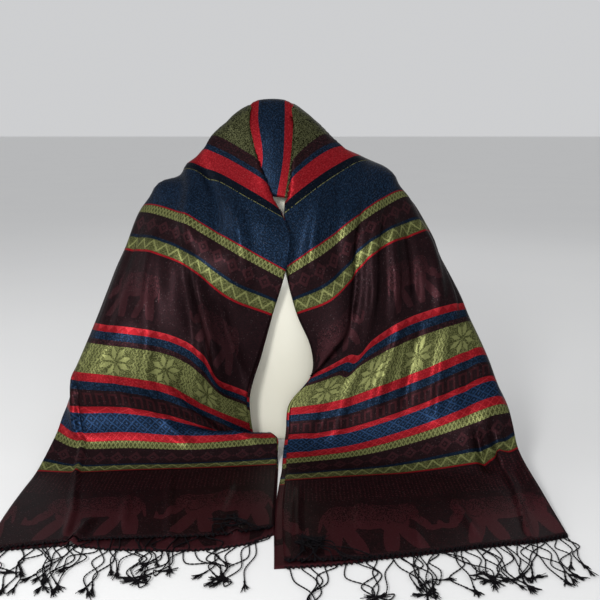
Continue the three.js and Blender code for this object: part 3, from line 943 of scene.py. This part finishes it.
def stripe_motif(tree, motif, spot, height, width):
    """The figure of one stripe, 1 where its light threads show."""
    across = spot["across"]
    if motif == "zigzag":
        thick = zigzag(tree, across, height, period=21.5, tall=0.78 * width, weight=2.0)
        net = diamond_net(tree, across, height, wide=7.2, tall=6.0, weight=1.1)
        net = put(tree, "Math MULTIPLY", (net, 0.2))
        return put(tree, "Math MAXIMUM", (thick, net))
    if motif == "long_zigzag":
        return zigzag(tree, across, height, period=34.0, tall=0.8 * width, weight=0.9)
    if motif == "triangles":
        wave = put(tree, "Math PINGPONG", (across, 8.0))
        return put(tree, "Math LESS_THAN", (height, wave))
    if motif == "chevrons":
        return diamond_net(tree, across, height, wide=6.6, tall=13.2, weight=0.75)
    if motif == "crosses":
        return diamond_net(tree, across, height, wide=14.0, tall=14.0, weight=1.1)
    if motif == "lattice":
        net = diamond_net(tree, across, height, wide=15.0, tall=15.0, weight=1.3)
        dots = diamond_dots(tree, across, height, wide=15.0, tall=15.0, reach=2.3)
        return put(tree, "Math MAXIMUM", (net, dots))
    if motif == "diamonds":
        return small_diamonds(tree, across, height, period=27.0, half=11.0, middle=width / 2)
    if motif == "combs":
        return comb_figures(tree, across, height, period=19.0)
    if motif == "flowers":
        return star_flowers(tree, spot["flowers"], height, spot["floats"], period=75.0,
                            middle=width / 2, radius=24.0)
    if motif == "mesh":
        return put(tree, "Math GREATER_THAN", (spot["floats"], 0.5))
    if motif == "picks":
        return put(tree, "Math GREATER_THAN", (spot["floats"], 0.35))
    if motif == "elephants":
        return elephant_row(tree, spot["walking"], height, spot["floats"], period=150.0,
                            ground=109.0, long_share=0.57, high_share=0.76)
    if motif == "border":
        dashes = stipple(tree, across, height, wide=5.5, tall=4.4)
        upper = put(tree, "Math COMPARE", (height, 34.0, 30.0))
        rows = put(tree, "Math MULTIPLY", (dashes, upper))
        picked = put(tree, "Math GREATER_THAN", (spot["floats"], 0.3))
        rows = put(tree, "Math MULTIPLY", (rows, picked))
        herd = elephant_row(tree, spot["border"], height, spot["floats"], period=BORDER_PERIOD,
                            ground=184.0, long_share=0.92, high_share=1.06)
        return put(tree, "Math MAXIMUM", (rows, herd))
    grain = put(tree, "TexNoise", {"Vector": spot["threads"], "Scale": 0.42, "Detail": 1.0},
                output="Fac")
    return put(tree, "Math GREATER_THAN", (grain, 0.56))


def jacquard(settings):
    """Satiny jacquard: lustrous dyed threads, so coloured soft highlights and a low relief."""
    material, tree = new_material("Jacquard woven viscose and silk, satin faced")
    uv = put(tree, "UVMap", uv_map="cloth")
    flat = put(tree, "VectorMath SCALE", {"Vector": uv, "Scale": 1 / MM})
    step = settings.thread / MM
    woven = put(tree, "VectorMath SNAP", (flat, (step, step, step)))
    # The threads are 0.3 mm apart, so they are drawn in groups of about a millimetre.
    float_noise = put(tree, "TexWhiteNoise", {"Vector": woven}, output="Value",
                      noise_dimensions="2D")
    parts = put(tree, "SeparateXYZ", (woven,), output=0)
    across, signed = parts, parts.node.outputs[1]
    along = put(tree, "Math ABSOLUTE", (signed,))
    first_half = put(tree, "Math LESS_THAN", (signed, 0.0))
    second_half = put(tree, "Math GREATER_THAN", (signed, 0.0))

    # The two halves of the length are woven with their motifs shifted, and at the second
    # border the elephants meet head to head.
    turned_back = distance(tree, across, MEETING)
    turned_back = put(tree, "Math SUBTRACT", (BORDER_PERIOD / 2, turned_back))
    marching = put(tree, "Math ADD", (across, MARCHING))
    border = put(tree, "Mix", {0: second_half, 2: marching, 3: turned_back}, data_type="FLOAT")
    spot = {
        "across": across,
        "threads": woven,
        "floats": float_noise,
        "flowers": put(tree, "Math MULTIPLY_ADD", (first_half, FLOWERS_SHIFT, across)),
        "walking": put(tree, "Math MULTIPLY_ADD", (first_half, WALKING, across)),
        "border": border,
    }

    ground = figure = mask = None
    start = 0.0
    for stripe in STRIPES:
        height = put(tree, "Math SUBTRACT", (along, start))
        ground_colour = linear(getattr(settings, stripe.ground))
        figure_colour = linear(getattr(settings, stripe.figure))
        drawn = 0.0
        if stripe.motif:
            drawn = stripe_motif(tree, stripe.motif, spot, height, stripe.width)
        if ground is None:
            ground, figure, mask = ground_colour, figure_colour, drawn
        else:
            inside = put(tree, "Math GREATER_THAN", (height, -0.01))
            ground = put(tree, "Mix", {0: inside, 6: ground, 7: ground_colour}, output=2,
                         data_type="RGBA")
            figure = put(tree, "Mix", {0: inside, 6: figure, 7: figure_colour}, output=2,
                         data_type="RGBA")
            mask = put(tree, "Mix", {0: inside, 2: mask, 3: drawn}, data_type="FLOAT")
        start += stripe.width

    # The wrong side of a jacquard shows its figures and ground the other way round.
    wrong_side = put(tree, "Math GREATER_THAN", (across, 0.0))
    turned = distance(tree, mask, wrong_side)

    # Threads differ a little in depth of dye, and here and there a pale painted glint stands in for
    # a float that catches the light.
    mottle = put(tree, "TexNoise", {"Vector": flat, "Scale": 0.05, "Detail": 3.0}, output="Fac")
    loose = put(tree, "Math MULTIPLY_ADD", (float_noise, 0.65, turned))
    loose = put(tree, "Math MULTIPLY_ADD", (mottle, 0.5, loose))
    blend = put(tree, "Math SUBTRACT", (loose, 0.46), use_clamp=True)
    colour = put(tree, "Mix", {0: blend, 6: ground, 7: figure}, output=2, data_type="RGBA")
    # Painted glints: a few pale specks mixed into the cloth's colour as highlights.
    painted_glint = put(tree, "Math GREATER_THAN", (float_noise, 0.985))
    painted_glint = put(tree, "Math MULTIPLY", (painted_glint, 0.045))
    colour = put(tree, "Mix", {0: painted_glint, 6: colour, 7: linear(settings.painted_glint)}, output=2,
                 data_type="RGBA")

    slub = put(tree, "TexNoise", {"Vector": flat, "Scale": 0.5, "Detail": 2.0}, output="Fac")
    relief = put(tree, "Math MULTIPLY_ADD", (turned, 0.5, slub))
    relief = put(tree, "Math MULTIPLY_ADD", (float_noise, 0.5, relief))
    bump = put(tree, "Bump", {"Strength": 0.45, "Distance": 0.0004, "Height": relief},
               output="Normal")
    surface = put(tree, "BsdfPrincipled", {
        "Base Color": colour, "Metallic": 0.55, "Roughness": 0.37, "IOR": 1.5,
        "Specular IOR Level": 0.14, "Specular Tint": linear(SHEEN_TINT), "Normal": bump})
    finish_material(tree, surface)
    return material


# ---- the fringe ----

class SHAWL_OT_fringe(bpy.types.Operator):
    """Knot the twisted strands along both hems"""

    bl_idname = "shawl.fringe"
    bl_label = "Fringes"

    def execute(self, context):
        settings = context.scene.shawl
        material = fringe_yarn(settings)
        for side, name in ((-1, "left"), (1, "right")):
            piece = fringe_piece(f"fringe_strands_{name}", side, 11 + side)
            piece.data.materials.append(material)
            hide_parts(f"fringe_{name}")
            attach(piece, BODY)
        return {"FINISHED"}


def hem_line(side, under):
    """The points of one hem, from the selvedges to the lengthwise fold."""
    t = np.broadcast_to(np.linspace(0, FOLDED, SECTION_POINTS), (3, SECTION_POINTS))
    peek = np.interp(t, *zip(*HEM_PEEK[side])) if under else np.zeros_like(t)
    s = side * (HALF + peek + np.array([[-4.0], [-2.0], [0.0]]))
    return cloth_middle(s, t)[2]


def strand_route(root, end, draw):
    """A limp strand's route from its root at the hem to its end, in lazy bends."""
    reach = end - root
    aside = Vector((-reach.y, reach.x, 0)).normalized()
    ahead = Vector((reach.x, reach.y, 0)).normalized()
    swing = draw.uniform(*SWING) * draw.choice((-1, 1))
    low = end.z
    way = [root, root + Vector((draw.uniform(-1.5, 1.5), -4, -0.2 * root.z)),
           root + 0.36 * reach + swing * aside,
           root + 0.74 * reach - draw.uniform(0.1, 1.0) * swing * aside]
    if draw.random() < HOOKED:
        way += [end + 9 * ahead + 0.5 * swing * aside, end + 2 * ahead + 1.1 * swing * aside]
    way.append(end)
    for index, place in enumerate(way[2:]):
        place.z = low + (draw.uniform(0, 2.4) if index % 2 else 0.0)
    length = sum((b - a).length for a, b in zip(way, way[1:]))
    places = np.linspace(0, len(way) - 1, int(length / STRAND_STEP) + 2)
    return [Vector(place) for place in curve_through([tuple(place) for place in way], places)]


def add_thread(curve, route, radius):
    """One thread of the curve along a route, its radius a share of a ply's."""
    spline = curve.splines.new("POLY")
    spline.points.add(len(route) - 1)
    for place, knot in zip(route, spline.points):
        knot.co = (*(place * MM), 1.0)
        knot.radius = radius


def add_strand(curve, route, draw):
    """Two plies twisted round each other, a knot and a brush of loose fibres."""
    for ply in (0, math.pi):
        twisted = []
        for index, place in enumerate(route):
            ahead = route[min(index + 1, len(route) - 1)] - route[max(index - 1, 0)]
            aside = Vector((-ahead.y, ahead.x, 0)).normalized()
            angle = ply + 2 * math.pi * index * STRAND_STEP / TWIST_PITCH
            twisted.append(place + PLY_RADIUS * (math.cos(angle) * aside
                                                 + math.sin(angle) * Vector((0, 0, 1))))
        add_thread(curve, twisted, 1.0)
    root, end = route[0], route[-1]
    leaving = (route[2] - root).normalized()
    add_thread(curve, [root - 1.2 * leaving, root, root + 2 * leaving], ROOT_KNOT)
    direction = (end - route[-4]).normalized()
    direction.z = 0
    add_thread(curve, [end - 1.5 * direction, end, end + 1.5 * direction], END_KNOT)
    for _ in range(BRUSH_FIBRES):
        spread = Vector((draw.uniform(-1, 1), draw.uniform(-1, 1), draw.uniform(-0.1, 0.4)))
        reach = draw.uniform(*BRUSH_LENGTH)
        half = end + 0.5 * reach * (direction + 0.16 * spread)
        tip = end + reach * (direction + 0.24 * spread)
        tip.z = max(tip.z, end.z - 0.7)
        add_thread(curve, [end, half, tip], FIBRE)


def add_lace(curve, hem, height):
    """The overcast edge of a hem: one thread that loops in and out of it."""
    line = np.asarray(hem)
    length = np.concatenate([[0], np.cumsum(np.linalg.norm(np.diff(line, axis=0), axis=1))])
    places = np.arange(0, length[-1], LACE_STEP)
    x, y = (np.interp(places, length, line[:, k]) for k in range(2))
    swing = LACE_SWING * np.sin(places * 2 * math.pi / LACE_PITCH) - LACE_INSET
    rise = height + LACE_RISE * np.cos(places * 2 * math.pi / LACE_PITCH)
    add_thread(curve, [Vector(p) for p in zip(x, y + swing, rise)], LACE)


def strand_ends(roots, side, under, draw):
    """Where strands end: neighbours drift together, and a few of the top hem lie back on it."""
    share, back = THROWN_BACK[side]
    if under:
        share = 0
    ends = []
    while len(ends) < len(roots):
        together = min(draw.randint(2, 5), len(roots) - len(ends))
        group = roots[len(ends):len(ends) + together]
        middle = sum(group, Vector()) / together
        drift = Vector((draw.uniform(-DRIFT_ASIDE, DRIFT_ASIDE), -draw.uniform(*DRIFT_OUT), 0))
        for _ in group:
            if len(ends) < share * len(roots):
                spot = Vector(back) + Vector([draw.uniform(*span) for span in THROWN_SPREAD])
            else:
                apart = [draw.uniform(-amount, amount) for amount in SPREAD]
                spot = middle + drift + Vector((*apart, 0))
                spot.z = LYING_HEIGHT
            ends.append(spot)
    return ends


def fringe_piece(name, side, seed):
    """Every strand of one end, from the top hem and from the under hem."""
    draw = random.Random(seed)
    curve = bpy.data.curves.new(name, "CURVE")
    curve.dimensions = "3D"
    curve.bevel_depth = PLY_RADIUS * MM
    curve.bevel_resolution = 0
    curve.use_fill_caps = True
    for under, height in HEM_HEIGHTS:
        hem = hem_line(side, under)
        add_lace(curve, hem, height)
        roots = []
        for index in range(STRANDS_PER_HEM):
            share = (index + 0.5 + draw.uniform(-0.25, 0.25)) / STRANDS_PER_HEM
            root = Vector(hem[round(share * (SECTION_POINTS - 1))])
            root.z = height
            roots.append(root)
        for root, end in zip(roots, strand_ends(roots, side, under, draw)):
            add_strand(curve, strand_route(root, end, draw), draw)
    rough = new_object(name + "_curve", curve)
    bpy.context.view_layer.update()
    mesh = bpy.data.meshes.new_from_object(rough.evaluated_get(
        bpy.context.evaluated_depsgraph_get()))
    bpy.data.objects.remove(rough)
    mesh.name = name
    mesh.materials.clear()
    shade_smooth(mesh)
    return new_object(name, mesh)


def fringe_yarn(settings):
    """Twisted black viscose: a dull sheen along the plies, with a faint violet cast."""
    material, tree = new_material("Twisted black viscose yarn")
    fibres = {"Scale": 900.0, "Detail": 2.0}
    colour, dust, _ = cloudy_colour(tree, settings.yarn, YARN_CAST, fibres)
    bump = put(tree, "Bump", {"Strength": 0.4, "Distance": 0.0002, "Height": dust},
               output="Normal")
    surface = put(tree, "BsdfPrincipled", {
        "Base Color": colour, "Roughness": 0.6, "Specular IOR Level": 0.08, "Normal": bump})
    finish_material(tree, surface)
    return material


# ---- the bust form ----

def form_mesh(settings):
    """A spun profile, pressed from round into each level's own half ellipses."""
    levels = np.array(FORM_LEVELS, float)
    steps = len(levels) - 1
    fine = curve_through(levels, np.linspace(0, steps, RINGS_PER_LEVEL * steps + 1))
    fine[:, 1:3] = np.maximum(fine[:, 1:3], 0)
    build = bmesh.new()
    first = build.verts.new((0, 0, fine[0, 0]))
    profile = [first] + [build.verts.new((width, 0, z)) for z, width, _, _ in fine]
    edges = [build.edges.new(pair) for pair in zip(profile, profile[1:])]
    bmesh.ops.spin(build, geom=profile + edges, cent=(0, 0, 0), axis=(0, 0, 1),
                   angle=2 * math.pi, steps=settings.facets, use_merge=True)
    bmesh.ops.remove_doubles(build, verts=build.verts, dist=1e-4)
    heights = fine[:, 0]
    for vert in build.verts:
        x, y, z = vert.co
        width, front, back = (np.interp(z, heights, fine[:, k]) for k in (1, 2, 3))
        depth = front if y < 0 else back
        scale = depth / max(width, 1e-6)
        vert.co = Vector((x, y * scale, z)) * MM
    bmesh.ops.recalc_face_normals(build, faces=build.faces)
    mesh = mesh_from(build, "bust_form_shell")
    shade_smooth(mesh)
    return mesh


class SHAWL_OT_form(bpy.types.Operator):
    """Mould the smooth bust form"""

    bl_idname = "shawl.form"
    bl_label = "Bust Form"

    def execute(self, context):
        settings = context.scene.shawl_form
        piece = new_object("bust_form_shell", form_mesh(settings))
        piece.data.materials.append(gel_coat(settings))
        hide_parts("bust_form")
        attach(piece, BODY)
        return {"FINISHED"}


def gel_coat(settings):
    """Gel-coated glass fibre: a clear gloss over cream, with a faint ripple from the mould."""
    material, tree = new_material("Cream gel coat on glass fibre")
    clouds = {"Scale": 9.0, "Detail": 3.0}
    colour, _, place = cloudy_colour(tree, settings.shell, SHELL_SHADE, clouds)
    ripple = put(tree, "TexNoise", {"Vector": place, "Scale": 60.0, "Detail": 2.0}, output="Fac")
    bump = put(tree, "Bump", {"Strength": 0.08, "Distance": 0.0008, "Height": ripple},
               output="Normal")
    surface = put(tree, "BsdfPrincipled", {
        "Base Color": colour, "Roughness": 0.22, "IOR": 1.5, "Coat Weight": 0.4,
        "Coat Roughness": 0.12, "Normal": bump})
    finish_material(tree, surface)
    return material


# ---- the stage ----

class SHAWL_OT_stage(bpy.types.Operator):
    """Set the floor, the lights and the camera"""

    bl_idname = "shawl.stage"
    bl_label = "Stage"

    def execute(self, context):
        settings = context.scene.shawl_stage
        build = bmesh.new()
        bmesh.ops.create_grid(build, x_segments=1, y_segments=1, size=FLOOR_REACH)
        floor = new_object("floor", mesh_from(build, "floor"))
        floor.data.materials.append(pale_floor(settings))
        add_camera(settings)
        add_lights()
        return {"FINISHED"}


def pale_floor(settings):
    """Plain matt studio board."""
    material, tree = new_material("Matt studio board")
    colour = cloudy_colour(tree, settings.floor, FLOOR_SHADE, {"Scale": 2.0})[0]
    surface = put(tree, "BsdfPrincipled", {"Base Color": colour, "Roughness": 0.85})
    finish_material(tree, surface)
    return material


def add_camera(settings):
    """The camera, level from side to side and looking down a little."""
    data = bpy.data.cameras.new("camera")
    data.lens = settings.lens
    data.sensor_width = SENSOR
    camera = new_object("camera", data)
    camera.location = settings.camera_place
    camera.rotation_euler = (math.pi / 2 - settings.camera_pitch, 0, 0)
    bpy.context.scene.camera = camera


def add_lights():
    """A soft key from the upper left, low fills at the front and side, one behind, a pale room."""
    for name, place, size, power in LIGHTS:
        data = bpy.data.lights.new(name, "AREA")
        data.size = size
        data.energy = power
        lamp = new_object(name, data)
        lamp.location = place
        aim = Vector(LIGHTS_AIM) - Vector(place)
        lamp.rotation_euler = aim.to_track_quat("-Z", "Y").to_euler()
    world = bpy.data.worlds.new("pale room")
    world.use_nodes = True
    tree = world.node_tree
    tree.nodes.clear()
    background = put(tree, "Background", (linear(ROOM_COLOUR), ROOM_LIGHT))
    tree.links.new(background, tree.nodes.new("ShaderNodeOutputWorld").inputs["Surface"])
    bpy.context.scene.world = world
    bpy.context.scene.view_settings.view_transform = "Standard"


# ---- the panel and the run ----

class SHAWL_PT_panel(bpy.types.Panel):
    """Lists the shawl's building steps"""

    bl_idname = "SHAWL_PT_panel"
    bl_label = "Draped Shawl"
    bl_space_type = "VIEW_3D"
    bl_region_type = "UI"
    bl_category = "Shawl"

    def draw(self, context):
        for operator in BUILD_ORDER:
            self.layout.operator(operator.bl_idname)


BUILD_ORDER = (SHAWL_OT_stage, SHAWL_OT_form, SHAWL_OT_cloth, SHAWL_OT_fringe)
CLASSES = (ShawlSettings, FormSettings, StageSettings, *BUILD_ORDER, SHAWL_PT_panel)


def register():
    """Adds the classes and the scene's settings."""
    for item in CLASSES:
        bpy.utils.register_class(item)
    bpy.types.Scene.shawl = bpy.props.PointerProperty(type=ShawlSettings)
    bpy.types.Scene.shawl_form = bpy.props.PointerProperty(type=FormSettings)
    bpy.types.Scene.shawl_stage = bpy.props.PointerProperty(type=StageSettings)


def unregister():
    """Takes them away again."""
    del bpy.types.Scene.shawl_stage
    del bpy.types.Scene.shawl_form
    del bpy.types.Scene.shawl
    for item in reversed(CLASSES):
        bpy.utils.unregister_class(item)


def main():
    """Builds the stage and every piece."""
    register()
    bpy.ops.shawl.stage()
    bpy.ops.shawl.form()
    bpy.ops.shawl.cloth()
    bpy.ops.shawl.fringe()


if __name__ == "__main__":
    main()
